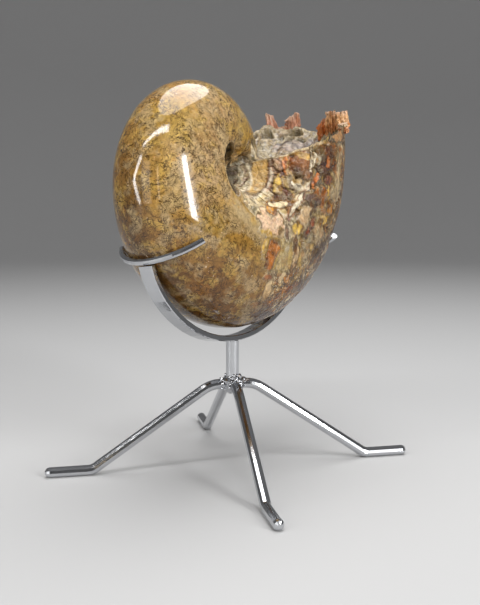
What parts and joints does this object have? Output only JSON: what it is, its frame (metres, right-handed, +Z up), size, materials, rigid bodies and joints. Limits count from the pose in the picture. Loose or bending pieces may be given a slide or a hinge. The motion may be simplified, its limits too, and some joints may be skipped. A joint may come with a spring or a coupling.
{
  "type": "ammonite fossil on stand",
  "caption": "Polished ammonite fossil with laid-open calcite chambers, resting in a curved strap cradle on a chromed rod stand with splayed legs.",
  "frame": {"origin": "on the floor, on the axis of the stand's post, midway between the four feet", "axes": "+Z up; +Y away from a viewer who faces the polished flank; +X to that viewer's right"},
  "size_m": [0.2804, 0.2805, 0.2932],
  "materials": {
    "fossil_stone": "polished ochre fossil stone with fine dark suture lines, amber, cream and red-brown calcite where the chambers are laid open",
    "chromed_steel": "mirror-bright chrome plate over welded steel rod and bar"
  },
  "bodies": {
    "root": {"ammonite": "fossil_stone", "post": "chromed_steel", "hub_weld": "chromed_steel", "leg_right": "chromed_steel", "leg_back": "chromed_steel", "leg_left": "chromed_steel", "leg_front": "chromed_steel", "cradle_strap": "chromed_steel", "arm_front": "chromed_steel", "arm_back": "chromed_steel"}
  },
  "joints": []
}
